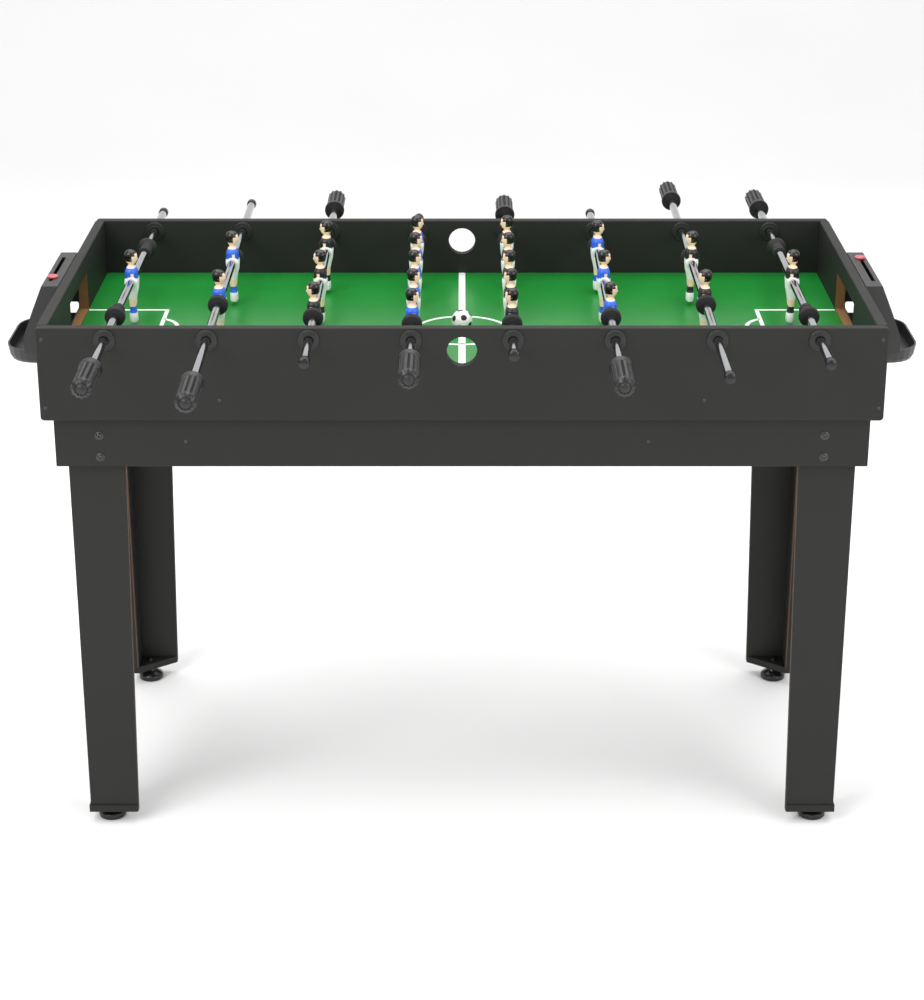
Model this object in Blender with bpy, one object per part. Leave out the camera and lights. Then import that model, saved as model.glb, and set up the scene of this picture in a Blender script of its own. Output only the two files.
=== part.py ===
"""Foosball table: an open playing box on an apron frame with four L-section legs.

Eight steel rods cross the box in bushings. Each rod carries rubber bumpers, an end cap,
a grip and its row of figures. Balls that pass a goal run into a moulded return on the end
board, which has a tray for the ball and a slot with a sliding score marker.

Metres, +Z up. The origin is on the floor at the centre of the footprint, +X runs along the
table and -Y is the side of the blue team's grips.
"""
import math

import bmesh
import bpy
from mathutils import Matrix, Vector

# Driving dimensions
TABLE_LENGTH = 1.210
TABLE_WIDTH = 0.610
RIM_HEIGHT = 0.813
BOARD = 0.015
GAP = 0.0003
ARRIS = 0.0012
CORNER_RADIUS = 0.005

# Playing box, as depths below the rim
BOX_DEPTH = 0.139
FIELD_DROP = 0.089
FIELD_THICKNESS = 0.012
ROD_DROP = 0.018
SERVE_HOLE_DROP = 0.035
SERVE_HOLE_RADIUS = 0.022
GOAL_WIDTH = 0.170
GOAL_TOP_DROP = 0.030

# Apron frame and legs
APRON_BOTTOM_DROP = 0.215
LEG_BOARD = 0.012
LEG_WIDTH_TOP = 0.083
LEG_WIDTH_BOTTOM = 0.073
LEG_RETURN_TOP = 0.066
LEG_RETURN_BOTTOM = 0.058
SHOE_BOTTOM = 0.0215
SHOE_HEIGHT = 0.0115
SHOE_LIP = 0.002
FOOT_INSET = 0.0285
FOOT_RADIUS = 0.021
STUD_RADIUS = 0.004
STUD_TOP = 0.038

# Rods and what they carry
ROD_PITCH = 0.145
ROD_RADIUS = 0.00635
ROD_BORE_RADIUS = 0.0052
BUSHING_RADIUS = 0.0155
BUSHING_FLANGE = 0.0024
STOP_CLEARANCE = 0.0006
BUMPER_RADIUS = 0.015
BUMPER_LENGTH = 0.012
COLLAR_RADIUS = 0.010
COLLAR_LENGTH = 0.030
KEEPER_BUMPER_REACH = 0.195
CAP_RADIUS = 0.008
CAP_LENGTH = 0.016
CAP_CLEARANCE = 0.022
GRIP_CLEARANCE = 0.035
GRIP_LENGTH = 0.092
GRIP_RADIUS = 0.0145
GRIP_COLLAR_RADIUS = 0.0165
SOCKET_DEPTH = 0.076
FIGURE_HALF_WIDTH = 0.0145
FIGURE_FOOT = -0.0645

# Ball returns, as reaches out from the end board and depths below the rim
RETURN_WALL = 0.0025
HOOD_HALF_WIDTH = 0.095
HOOD_TOP_REACH = 0.025
HOOD_BEND_REACH = 0.041
HOOD_BEND_DROP = 0.0385
HOOD_FOOT_REACH = 0.057
HOOD_FOOT_DROP = 0.080
TRAY_RIM_DROP = 0.1025
TRAY_BOTTOM_DROP = 0.124
TRAY_REACH = 0.091
TRAY_HALF_WIDTH = 0.090
TRAY_CORNER = 0.0475
TRAY_DRAFT = 0.006
SLOT_HALF_LENGTH = 0.066
SLOT_REACH = 0.0155
SLOT_WIDTH = 0.006
WINDOW_NEAR = 0.002
WINDOW_FAR = 0.028
WINDOW_TOP_DROP = 0.080
WINDOW_BOTTOM_DROP = 0.0985
WINDOW_CORNER = 0.002
MARKER_PLACES = {"left": -0.045, "right": 0.062}
MARKER_RADIUS = 0.0085
MARKER_HEIGHT = 0.0035

BALL_RADIUS = 0.016
BALL_PLACE = (0.0, -0.030)

# Rows from left to right, and each row's number of figures and their spacing
ROWS = [
    ("blue", "goalkeeper"), ("blue", "defender"), ("black", "forward"), ("blue", "midfielder"),
    ("black", "midfielder"), ("blue", "forward"), ("black", "defender"), ("black", "goalkeeper"),
]
LINEUPS = {
    "goalkeeper": (1, 0.0), "defender": (2, 0.220), "forward": (3, 0.175), "midfielder": (5, 0.1035),
}

# Derived places
HALF_LENGTH = TABLE_LENGTH / 2
HALF_WIDTH = TABLE_WIDTH / 2
INNER_X = HALF_LENGTH - BOARD
INNER_Y = HALF_WIDTH - BOARD
FIELD_TOP = RIM_HEIGHT - FIELD_DROP
FIELD_BOTTOM = FIELD_TOP - FIELD_THICKNESS
BOX_BOTTOM = RIM_HEIGHT - BOX_DEPTH
APRON_X = INNER_X - GAP
APRON_Y = INNER_Y - GAP
APRON_TOP = FIELD_BOTTOM - GAP
APRON_BOTTOM = RIM_HEIGHT - APRON_BOTTOM_DROP
ROD_HEIGHT = RIM_HEIGHT - ROD_DROP

ROD_SIDES = 12
SERVE_SIDES = 24


def make_material(name, colour, roughness, metallic=0.0):
    """Plain Principled material."""
    material = bpy.data.materials.new(name)
    material.use_nodes = True
    shader = material.node_tree.nodes["Principled BSDF"]
    shader.inputs["Base Color"].default_value = (*colour, 1.0)
    shader.inputs["Roughness"].default_value = roughness
    shader.inputs["Metallic"].default_value = metallic
    return material


def make_materials():
    """Every finish on the table."""
    return {
        "board": make_material("black laminated board", (0.035, 0.034, 0.032), 0.45),
        "field": make_material("green printed field", (0.02, 0.27, 0.04), 0.25),
        "moulded": make_material("black moulded plastic", (0.03, 0.03, 0.03), 0.4),
        "marker": make_material("red plastic", (0.7, 0.04, 0.04), 0.35),
        "steel": make_material("chromed steel", (0.75, 0.75, 0.75), 0.15, 1.0),
        "grip": make_material("black grip plastic", (0.02, 0.02, 0.02), 0.5),
        "blue": make_material("blue figure plastic", (0.03, 0.12, 0.6), 0.35),
        "black": make_material("black figure plastic", (0.02, 0.02, 0.02), 0.35),
        "ball": make_material("white ball plastic", (0.85, 0.85, 0.85), 0.3),
    }


def mesh_from(bm, name):
    """Turn a bmesh into a mesh with its faces pointing out."""
    bmesh.ops.recalc_face_normals(bm, faces=bm.faces)
    mesh = bpy.data.meshes.new(name)
    bm.to_mesh(mesh)
    bm.free()
    return mesh


def add_object(name, mesh, material, parent=None, location=(0, 0, 0)):
    """One named object, with its material on the object so that a mesh can be shared."""
    obj = bpy.data.objects.new(name, mesh)
    bpy.context.scene.collection.objects.link(obj)
    if not mesh.materials:
        mesh.materials.append(None)
    obj.material_slots[0].link = "OBJECT"
    obj.material_slots[0].material = material
    obj.parent = parent
    obj.location = location
    return obj


def add_helper(name, mesh):
    """A cutter or an added shape for a Boolean, left out of the table itself."""
    helper = bpy.data.objects.new(name, mesh)
    bpy.context.scene.collection.objects.link(helper)
    helper.hide_render = True
    helper.display_type = "WIRE"
    return helper


def add_boolean(obj, helper, operation):
    """Cut the helper from the object, or join it to the object."""
    modifier = obj.modifiers.new(helper.name, "BOOLEAN")
    modifier.operation = operation
    modifier.object = helper
    modifier.solver = "EXACT"


def box_bmesh(low, high, bm=None):
    """Box between two corners, added to a bmesh."""
    bm = bm or bmesh.new()
    low, high = Vector(low), Vector(high)
    size = high - low
    place = Matrix.Translation((low + high) / 2) @ Matrix.Diagonal((*size, 1.0))
    bmesh.ops.create_cube(bm, size=1.0, matrix=place)
    return bm


def board_mesh(name, low, high, corner=0.0):
    """Board with its sharp edges just broken, and its four corners seen along Y rounded."""
    bm = box_bmesh(low, high)
    if corner:
        edges = [e for e in bm.edges if abs(e.verts[0].co.y - e.verts[1].co.y) > GAP]
        bmesh.ops.bevel(bm, geom=edges, offset=corner, segments=3, profile=0.5, affect="EDGES")
        sharp = [e for e in bm.edges if e.calc_face_angle() > math.radians(60)]
        bmesh.ops.bevel(bm, geom=sharp, offset=ARRIS, segments=1, affect="EDGES")
        return mesh_from(bm, name)
    bmesh.ops.bevel(bm, geom=bm.edges[:], offset=ARRIS, segments=1, affect="EDGES")
    return mesh_from(bm, name)


def prism_bmesh(outline, low, high, axis="Z", bm=None):
    """Prism of a flat outline between two heights along an axis."""
    bm = bm or bmesh.new()
    rings = []
    for height in (low, high):
        if axis == "Z":
            ring = [(x, y, height) for x, y in outline]
        else:
            ring = [(x, height, z) for x, z in outline]
        rings.append(ring)
    return loft_bmesh(rings, bm)


def loft_bmesh(rings, bm=None):
    """Closed skin through rings that have the same number of points."""
    bm = bm or bmesh.new()
    loops = [[bm.verts.new(point) for point in ring] for ring in rings]
    count = len(loops[0])
    for lower, upper in zip(loops, loops[1:]):
        for i in range(count):
            j = (i + 1) % count
            bm.faces.new((lower[i], lower[j], upper[j], upper[i]))
    bm.faces.new(reversed(loops[0]))
    bm.faces.new(loops[-1])
    return bm


def circle(radius, sides, centre=(0.0, 0.0)):
    """Points of a regular polygon on a circle."""
    step = math.tau / sides
    return [
        (centre[0] + radius * math.cos(i * step), centre[1] + radius * math.sin(i * step))
        for i in range(sides)
    ]


def turned_bmesh(profile, sides, axis="Y", bm=None):
    """Body turned about an axis from (along, radius) points; its ends have radius 0."""
    bm = bm or bmesh.new()
    rings = []
    for along, radius in profile:
        places = circle(radius, sides) if radius else [(0.0, 0.0)]
        if axis == "Y":
            points = [(u, along, v) for u, v in places]
        else:
            points = [(u, v, along) for u, v in places]
        rings.append([bm.verts.new(point) for point in points])
    for first, second in zip(rings, rings[1:]):
        for i in range(sides):
            j = (i + 1) % sides
            corners = [first[i % len(first)], first[j % len(first)]]
            corners += [second[j % len(second)], second[i % len(second)]]
            bm.faces.new(list(dict.fromkeys(corners)))
    return bm


def clear_radius(radius, sides):
    """Corner radius of a polygonal bore that clears a round bar of the given radius."""
    return (radius + GAP) / math.cos(math.pi / sides)


# Playing box

def row_places():
    """X of each rod, from left to right."""
    middle = (len(ROWS) - 1) / 2
    return [(number - middle) * ROD_PITCH for number in range(len(ROWS))]


def make_side_board(name, side, material):
    """Long board with a bushing for each rod and the round hole that a ball is served through."""
    inner, outer = side * INNER_Y, side * HALF_WIDTH
    low = (-HALF_LENGTH, min(inner, outer), BOX_BOTTOM)
    high = (HALF_LENGTH, max(inner, outer), RIM_HEIGHT)
    board = add_object(name, board_mesh(name, low, high, CORNER_RADIUS), material)
    near = min(inner, outer) - BUSHING_FLANGE
    far = max(inner, outer) + BUSHING_FLANGE
    bushings, bores = bmesh.new(), bmesh.new()
    bore_radius = clear_radius(ROD_RADIUS, ROD_SIDES)
    for x in row_places():
        ring = circle(BUSHING_RADIUS, ROD_SIDES, (x, ROD_HEIGHT))
        prism_bmesh(ring, near, far, "Y", bushings)
        hole = circle(bore_radius, ROD_SIDES, (x, ROD_HEIGHT))
        prism_bmesh(hole, near - BOARD, far + BOARD, "Y", bores)
    serve = circle(SERVE_HOLE_RADIUS, SERVE_SIDES, (0.0, RIM_HEIGHT - SERVE_HOLE_DROP))
    prism_bmesh(serve, near - BOARD, far + BOARD, "Y", bores)
    add_boolean(board, add_helper(name + "_bushings", mesh_from(bushings, name)), "UNION")
    add_boolean(board, add_helper(name + "_bores", mesh_from(bores, name)), "DIFFERENCE")


def make_end_board(name, side, material):
    """Short board with the goal cut through it."""
    inner, outer = side * INNER_X, side * HALF_LENGTH
    low = (min(inner, outer), -INNER_Y + GAP, BOX_BOTTOM)
    high = (max(inner, outer), INNER_Y - GAP, RIM_HEIGHT)
    board = add_object(name, board_mesh(name, low, high), material)
    goal_low = (low[0] - BOARD, -GOAL_WIDTH / 2, FIELD_TOP)
    goal_high = (high[0] + BOARD, GOAL_WIDTH / 2, RIM_HEIGHT - GOAL_TOP_DROP)
    goal = mesh_from(box_bmesh(goal_low, goal_high), name)
    add_boolean(board, add_helper(name + "_goal", goal), "DIFFERENCE")


def make_box(materials):
    """Four boards round the printed field."""
    make_side_board("side_board_front", -1, materials["board"])
    make_side_board("side_board_back", 1, materials["board"])
    make_end_board("end_board_left", -1, materials["board"])
    make_end_board("end_board_right", 1, materials["board"])
    low = (-INNER_X + GAP, -INNER_Y + GAP, FIELD_BOTTOM)
    high = (INNER_X - GAP, INNER_Y - GAP, FIELD_TOP)
    add_object("playfield", mesh_from(box_bmesh(low, high), "playfield"), materials["field"])


# Apron frame, legs and feet

def make_aprons(material):
    """Frame of four boards under the field, just inside the playing box."""
    long_x, short_y = APRON_X, APRON_Y - BOARD - GAP
    for name, side in (("apron_front", -1), ("apron_back", 1)):
        near, far = sorted((side * (APRON_Y - BOARD), side * APRON_Y))
        mesh = board_mesh(name, (-long_x, near, APRON_BOTTOM), (long_x, far, APRON_TOP))
        add_object(name, mesh, material)
    for name, side in (("apron_left", -1), ("apron_right", 1)):
        near, far = sorted((side * (APRON_X - BOARD), side * APRON_X))
        mesh = board_mesh(name, (near, -short_y, APRON_BOTTOM), (far, short_y, APRON_TOP))
        add_object(name, mesh, material)


def make_leg(name, side_x, side_y, material):
    """Tapered L-section leg with the triangular shoe under it that takes the levelling foot.

    It is drawn for the front left corner, with its outer edge at (0, 0), then turned over.
    """
    top = APRON_TOP - 2 * GAP
    rings = []
    for height, width, depth in (
        (SHOE_BOTTOM + SHOE_HEIGHT / 2, LEG_WIDTH_BOTTOM, LEG_RETURN_BOTTOM),
        (APRON_BOTTOM, LEG_WIDTH_TOP, LEG_RETURN_TOP),
        (top, LEG_WIDTH_TOP, LEG_RETURN_TOP),
    ):
        outline = [(0, 0), (width, 0), (width, LEG_BOARD), (LEG_BOARD, LEG_BOARD)]
        outline += [(LEG_BOARD, depth), (0, depth)]
        rings.append([(x, y, height) for x, y in outline])
    leg_bm = loft_bmesh(rings)
    width, depth = LEG_WIDTH_BOTTOM, LEG_RETURN_BOTTOM
    shoe = [
        (-SHOE_LIP, -SHOE_LIP), (width - SHOE_LIP, -SHOE_LIP), (width, 0),
        (width, LEG_BOARD), (LEG_BOARD, depth), (-SHOE_LIP, depth),
    ]
    shoe_bm = prism_bmesh(shoe, SHOE_BOTTOM, SHOE_BOTTOM + SHOE_HEIGHT)
    sides = ROD_SIDES
    hole = circle(clear_radius(STUD_RADIUS, sides), sides, (FOOT_INSET, FOOT_INSET))
    hole_bm = prism_bmesh(hole, 0, SHOE_BOTTOM + 2 * SHOE_HEIGHT)

    corner = Vector((side_x * (APRON_X - BOARD - GAP), side_y * (APRON_Y - BOARD - GAP), 0))
    place = Matrix.Translation(corner) @ Matrix.Diagonal((-side_x, -side_y, 1, 1))
    for bm in (leg_bm, shoe_bm, hole_bm):
        bmesh.ops.transform(bm, matrix=place, verts=bm.verts[:])
    leg = add_object(name, mesh_from(leg_bm, name), material)
    add_boolean(leg, add_helper(name + "_shoe", mesh_from(shoe_bm, name)), "UNION")
    add_boolean(leg, add_helper(name + "_bore", mesh_from(hole_bm, name)), "DIFFERENCE")


def make_foot(name, side_x, side_y, mesh, material):
    """Levelling foot: a round pad on a threaded stud."""
    x = side_x * (APRON_X - BOARD - GAP - FOOT_INSET)
    y = side_y * (APRON_Y - BOARD - GAP - FOOT_INSET)
    add_object(name, mesh, material, location=(x, y, 0))


def make_stand(materials):
    """Aprons, legs and levelling feet."""
    make_aprons(materials["board"])
    hub_top = SHOE_BOTTOM - GAP
    profile = [
        (0, 0), (0, 0.0175), (0.003, FOOT_RADIUS), (0.009, FOOT_RADIUS), (0.015, 0.013),
        (hub_top, 0.009), (hub_top, STUD_RADIUS), (STUD_TOP, STUD_RADIUS), (STUD_TOP, 0),
    ]
    foot_mesh = mesh_from(turned_bmesh(profile, ROD_SIDES, "Z"), "levelling_foot")
    for row, side_y in (("front", -1), ("back", 1)):
        for column, side_x in (("left", -1), ("right", 1)):
            corner = f"{row}_{column}"
            make_leg("leg_" + corner, side_x, side_y, materials["board"])
            make_foot("foot_" + corner, side_x, side_y, foot_mesh, materials["moulded"])


# Ball returns and score markers

def tray_outline(inset, back):
    """Plan of the tray: square to the end board and with two round corners away from it."""
    reach, half, radius = TRAY_REACH - inset, TRAY_HALF_WIDTH - inset, TRAY_CORNER - inset
    points = [(back, -half)]
    steps = 6
    for side, start in ((-1, -math.pi / 2), (1, 0.0)):
        for i in range(steps + 1):
            angle = start + math.pi / 2 * i / steps
            centre_y = side * (half - radius)
            points.append((reach - radius + radius * math.cos(angle), centre_y + radius * math.sin(angle)))
    return points + [(back, half)]


def tray_bmesh(wall):
    """Outer shape of the tray, or with a wall thickness the hollow inside it."""
    bottom = RIM_HEIGHT - TRAY_BOTTOM_DROP
    top = RIM_HEIGHT - TRAY_RIM_DROP + (0.001 if wall else 0.0)
    levels = [(bottom + wall, TRAY_DRAFT), (bottom + 0.005, TRAY_DRAFT / 2), (top, 0.0)]
    rings = []
    for height, draft in levels:
        outline = tray_outline(wall + draft, wall)
        rings.append([(reach, y, height) for reach, y in outline])
    return loft_bmesh(rings)


def hood_bmesh():
    """Hood over the goal, leaning out as it goes down to the ledge that carries the tray."""
    ledge = RIM_HEIGHT - TRAY_RIM_DROP - RETURN_WALL
    outline = [
        (0.0, RIM_HEIGHT), (HOOD_TOP_REACH, RIM_HEIGHT), (HOOD_BEND_REACH, RIM_HEIGHT - HOOD_BEND_DROP),
        (HOOD_FOOT_REACH, RIM_HEIGHT - HOOD_FOOT_DROP), (HOOD_FOOT_REACH, ledge), (0.0, ledge),
    ]
    return prism_bmesh(outline, -HOOD_HALF_WIDTH, HOOD_HALF_WIDTH, "Y")


def hood_hollow_bmesh():
    """Space inside the hood: open to the goal, and to the tray in front of it."""
    wall, rim = RETURN_WALL, RIM_HEIGHT - TRAY_RIM_DROP
    half = HOOD_HALF_WIDTH - wall
    outline = [
        (-0.010, RIM_HEIGHT - wall), (HOOD_TOP_REACH - wall, RIM_HEIGHT - wall),
        (HOOD_BEND_REACH - wall, RIM_HEIGHT - HOOD_BEND_DROP),
        (HOOD_FOOT_REACH - wall, RIM_HEIGHT - HOOD_FOOT_DROP), (TRAY_REACH, RIM_HEIGHT - HOOD_FOOT_DROP),
        (TRAY_REACH, rim), (wall, rim), (wall, FIELD_TOP), (-0.010, FIELD_TOP),
    ]
    return prism_bmesh(outline, -half, half, "Y")


def window_bmesh():
    """Windows with cut corners, straight through both cheeks of the hood."""
    low, high = RIM_HEIGHT - WINDOW_BOTTOM_DROP, RIM_HEIGHT - WINDOW_TOP_DROP
    cut = WINDOW_CORNER
    outline = [
        (WINDOW_NEAR + cut, low), (WINDOW_FAR - cut, low),
        (WINDOW_FAR, low + cut), (WINDOW_FAR, high - cut),
        (WINDOW_FAR - cut, high), (WINDOW_NEAR + cut, high),
        (WINDOW_NEAR, high - cut), (WINDOW_NEAR, low + cut),
    ]
    return prism_bmesh(outline, -2 * HOOD_HALF_WIDTH, 2 * HOOD_HALF_WIDTH, "Y")


def make_ball_return(name, side, material):
    """Moulded ball return: a hood over the goal and the D-shaped tray that catches the ball."""
    place = Matrix.Translation((side * (HALF_LENGTH + GAP), 0, 0)) @ Matrix.Diagonal((side, 1, 1, 1))
    slot_low = (SLOT_REACH - SLOT_WIDTH / 2, -SLOT_HALF_LENGTH, RIM_HEIGHT - 2 * RETURN_WALL)
    slot_high = (SLOT_REACH + SLOT_WIDTH / 2, SLOT_HALF_LENGTH, RIM_HEIGHT + RETURN_WALL)
    shapes = {
        "hood": hood_bmesh(), "hollow": hood_hollow_bmesh(), "tray_hollow": tray_bmesh(RETURN_WALL),
        "windows": window_bmesh(), "slot": box_bmesh(slot_low, slot_high),
    }
    body_bm = tray_bmesh(0.0)
    for bm in (body_bm, *shapes.values()):
        bmesh.ops.transform(bm, matrix=place, verts=bm.verts[:])
    body = add_object(name, mesh_from(body_bm, name), material)
    for part, bm in shapes.items():
        operation = "UNION" if part == "hood" else "DIFFERENCE"
        add_boolean(body, add_helper(f"{name}_{part}", mesh_from(bm, name)), operation)


def make_score_marker(name, side, material):
    """Sliding score marker: a domed button, a stem through the slot and a plate that keeps it in."""
    top = RIM_HEIGHT
    stem = SLOT_WIDTH / 2 - GAP
    under = top - RETURN_WALL - GAP
    button = circle(1.0, ROD_SIDES)
    levels = [
        (under - 0.002, 0.0045, 0.007), (under, 0.0045, 0.007), (under, stem, stem),
        (top + GAP, stem, stem), (top + GAP, MARKER_RADIUS, MARKER_RADIUS),
        (top + 0.6 * MARKER_HEIGHT, MARKER_RADIUS, MARKER_RADIUS),
        (top + MARKER_HEIGHT, 0.75 * MARKER_RADIUS, 0.75 * MARKER_RADIUS),
    ]
    rings = [[(u * a, v * b, height) for u, v in button] for height, a, b in levels]
    mesh = mesh_from(loft_bmesh(rings), name)
    x = side * (HALF_LENGTH + GAP + SLOT_REACH)
    place = MARKER_PLACES["left" if side < 0 else "right"]
    add_object(name, mesh, material, location=(x, place, 0))


def make_returns(materials):
    """Both ball returns with their score markers."""
    for word, side in (("left", -1), ("right", 1)):
        make_ball_return("ball_return_" + word, side, materials["moulded"])
        make_score_marker("score_marker_" + word, side, materials["marker"])


# Rods, grips, figures and the ball

def bumper_reach(role):
    """How far from the rod's middle the outer face of each bumper is."""
    count, spacing = LINEUPS[role]
    if role == "goalkeeper":
        return KEEPER_BUMPER_REACH
    outermost = (count - 1) / 2 * spacing
    return outermost + FIGURE_HALF_WIDTH + GAP + BUMPER_LENGTH


def row_travel(role):
    """How far a rod slides either way before a bumper meets a bushing."""
    return INNER_Y - BUSHING_FLANGE - STOP_CLEARANCE - bumper_reach(role)


def rod_mesh(role):
    """Steel tube with its two bumpers and, on the end away from the grip, its cap.

    It lies along Y with the grip's end at -Y, where the tube is open.
    """
    grip_start = HALF_WIDTH + GRIP_CLEARANCE + row_travel(role)
    cap_end = HALF_WIDTH + CAP_CLEARANCE + row_travel(role)
    open_end = -(grip_start + SOCKET_DEPTH - GAP)
    outer = bumper_reach(role)
    inner = outer - BUMPER_LENGTH
    near_bumper = [(-outer, ROD_RADIUS), (-outer, BUMPER_RADIUS), (-inner, BUMPER_RADIUS)]
    if role == "goalkeeper":
        stop = inner - COLLAR_LENGTH
        near_bumper += [(-inner, COLLAR_RADIUS), (-stop, COLLAR_RADIUS), (-stop, ROD_RADIUS)]
    else:
        near_bumper += [(-inner, ROD_RADIUS)]
    far_bumper = [(-along, radius) for along, radius in reversed(near_bumper)]
    cap_start = cap_end - CAP_LENGTH
    profile = [(cap_end - 0.006, 0), (cap_end - 0.006, ROD_BORE_RADIUS)]
    profile += [(open_end, ROD_BORE_RADIUS), (open_end, ROD_RADIUS)]
    profile += near_bumper + far_bumper
    profile += [(cap_start, ROD_RADIUS), (cap_start, CAP_RADIUS), (cap_end - 0.002, CAP_RADIUS)]
    profile += [(cap_end, CAP_RADIUS - 0.003), (cap_end, 0)]
    return mesh_from(turned_bmesh(profile, ROD_SIDES), role + "_rod")


def grip_mesh():
    """Grip along -Y from its bell mouth at y = 0, with the socket that takes the rod."""
    socket = clear_radius(ROD_RADIUS, ROD_SIDES)
    profile = [
        (SOCKET_DEPTH, 0), (SOCKET_DEPTH, socket), (0.005, socket), (0, 0.0125),
        (0, GRIP_COLLAR_RADIUS), (0.004, GRIP_COLLAR_RADIUS), (0.010, GRIP_RADIUS),
        (0.078, GRIP_RADIUS), (0.087, 0.0115), (GRIP_LENGTH, 0.006), (GRIP_LENGTH, 0),
    ]
    profile = [(-along, radius) for along, radius in profile]
    return mesh_from(turned_bmesh(profile, ROD_SIDES), "grip")


def figure_mesh():
    """Figure hanging on the rod's axis, facing +X, bored for the rod along Y."""
    levels = [
        (FIGURE_FOOT, 0.0065, 0.0120), (-0.050, 0.0062, 0.0118), (-0.046, 0.0048, 0.0085),
        (-0.028, 0.0062, 0.0100), (-0.012, 0.0105, 0.0135), (0.012, 0.0115, FIGURE_HALF_WIDTH),
        (0.021, 0.0080, 0.0120), (0.0245, 0.0050, 0.0055), (0.030, 0.0085, 0.0075),
        (0.041, 0.0098, 0.0085), (0.0485, 0.0050, 0.0045),
    ]
    corner = 0.6
    outline = [(1, -corner), (1, corner), (corner, 1), (-corner, 1)]
    outline += [(-1, corner), (-1, -corner), (-corner, -1), (corner, -1)]
    rings = [[(u * a, v * b, height) for u, v in outline] for height, a, b in levels]
    solid = add_helper("figure_solid", mesh_from(loft_bmesh(rings), "figure_solid"))
    bore = circle(clear_radius(ROD_RADIUS, ROD_SIDES), ROD_SIDES)
    reach = 2 * FIGURE_HALF_WIDTH
    cutter = add_helper("figure_bore", mesh_from(prism_bmesh(bore, -reach, reach, "Y"), "figure_bore"))
    add_boolean(solid, cutter, "DIFFERENCE")
    evaluated = solid.evaluated_get(bpy.context.evaluated_depsgraph_get())
    return bpy.data.meshes.new_from_object(evaluated)


def make_rows(materials):
    """Every rod with its grip and figures, hung on an empty on the rod's axis."""
    figure, grip = figure_mesh(), grip_mesh()
    rods = {role: rod_mesh(role) for role in LINEUPS}
    for (team, role), x in zip(ROWS, row_places()):
        row = f"{team}_{role}"
        axis = bpy.data.objects.new(row + "_axis", None)
        bpy.context.scene.collection.objects.link(axis)
        axis.location = (x, 0, ROD_HEIGHT)
        # The black team plays from the far side, facing -X
        axis.rotation_euler.z = math.pi if team == "black" else 0.0
        add_object(row + "_rod", rods[role], materials["steel"], axis)
        grip_start = HALF_WIDTH + GRIP_CLEARANCE + row_travel(role)
        add_object(row + "_grip", grip, materials["grip"], axis, (0, -grip_start, 0))
        count, spacing = LINEUPS[role]
        for number in range(count):
            y = (number - (count - 1) / 2) * spacing
            add_object(f"{row}_figure_{number + 1}", figure, materials[team], axis, (0, y, 0))


def make_ball(material):
    """Ball at rest on the field."""
    bm = bmesh.new()
    bmesh.ops.create_icosphere(bm, subdivisions=2, radius=BALL_RADIUS)
    place = (*BALL_PLACE, FIELD_TOP + BALL_RADIUS + GAP)
    add_object("ball", mesh_from(bm, "ball"), material, location=place)


def main():
    """Clear the scene and build the table."""
    for obj in list(bpy.data.objects):
        bpy.data.objects.remove(obj, do_unlink=True)
    materials = make_materials()
    make_box(materials)
    make_stand(materials)
    make_returns(materials)
    make_rows(materials)
    make_ball(materials["ball"])
    bpy.context.view_layer.update()


main()
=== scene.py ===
"""Looks of a foosball table, built round its fixed frame as a Blender add-on.

Boards keep their shapes and get their finishes. Figures, grips, rods, levelling feet and the
ball are replaced by finer pieces in the same places, and small fasteners are added.
"""

import math

import bmesh
import bpy
from bpy.props import FloatProperty, FloatVectorProperty, IntProperty, PointerProperty
from mathutils import Matrix, Vector


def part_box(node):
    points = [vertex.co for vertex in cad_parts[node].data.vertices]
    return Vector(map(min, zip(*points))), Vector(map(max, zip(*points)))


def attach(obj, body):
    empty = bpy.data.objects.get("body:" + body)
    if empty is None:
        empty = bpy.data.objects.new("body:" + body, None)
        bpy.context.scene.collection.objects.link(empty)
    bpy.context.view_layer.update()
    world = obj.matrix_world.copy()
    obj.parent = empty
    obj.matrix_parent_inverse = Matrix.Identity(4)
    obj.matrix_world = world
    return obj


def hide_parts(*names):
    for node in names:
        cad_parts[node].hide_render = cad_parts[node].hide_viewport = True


bl_info = {
    "name": "Foosball Table",
    "version": (1, 0, 0),
    "blender": (4, 5, 0),
    "location": "View3D > Sidebar > Foosball",
    "description": "Finishes and fine pieces of a foosball table with eight rods",
    "category": "Add Mesh",
}

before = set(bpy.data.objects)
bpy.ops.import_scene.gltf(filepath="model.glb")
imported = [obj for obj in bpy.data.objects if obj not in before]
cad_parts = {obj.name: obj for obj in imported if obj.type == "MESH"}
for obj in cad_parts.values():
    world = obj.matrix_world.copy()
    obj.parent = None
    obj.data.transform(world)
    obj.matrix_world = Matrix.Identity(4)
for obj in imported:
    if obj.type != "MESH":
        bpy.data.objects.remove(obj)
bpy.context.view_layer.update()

MM = 0.001
ROWS = (
    "blue_goalkeeper", "blue_defender", "black_forward", "blue_midfielder",
    "black_midfielder", "blue_forward", "black_defender", "black_goalkeeper",
)
BOX_BOARDS = ("side_board_front", "side_board_back", "end_board_left", "end_board_right")
APRONS = ("apron_front", "apron_back", "apron_left", "apron_right")
CORNERS = ("front_left", "front_right", "back_left", "back_right")

# Places read from the frame
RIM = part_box("side_board_front")[1].z
FIELD_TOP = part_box("playfield")[1].z
FRONT_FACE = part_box("apron_front")[0].y
BOARD_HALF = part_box("side_board_front")[1].x
BUSHING_FLANGE = 2.4 * MM


def hex_rgba(code):
    """Linear colour of an sRGB hex value."""
    values = [int(code[i:i + 2], 16) / 255 for i in (0, 2, 4)]
    linear = [v / 12.92 if v <= 0.04045 else ((v + 0.055) / 1.055) ** 2.4 for v in values]
    return (*linear, 1.0)


def linear_to_rgba(colour):
    """A property's colour, which is already linear, with its alpha."""
    return (*colour, 1.0)


# Sizes and colours that a user would change

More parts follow.
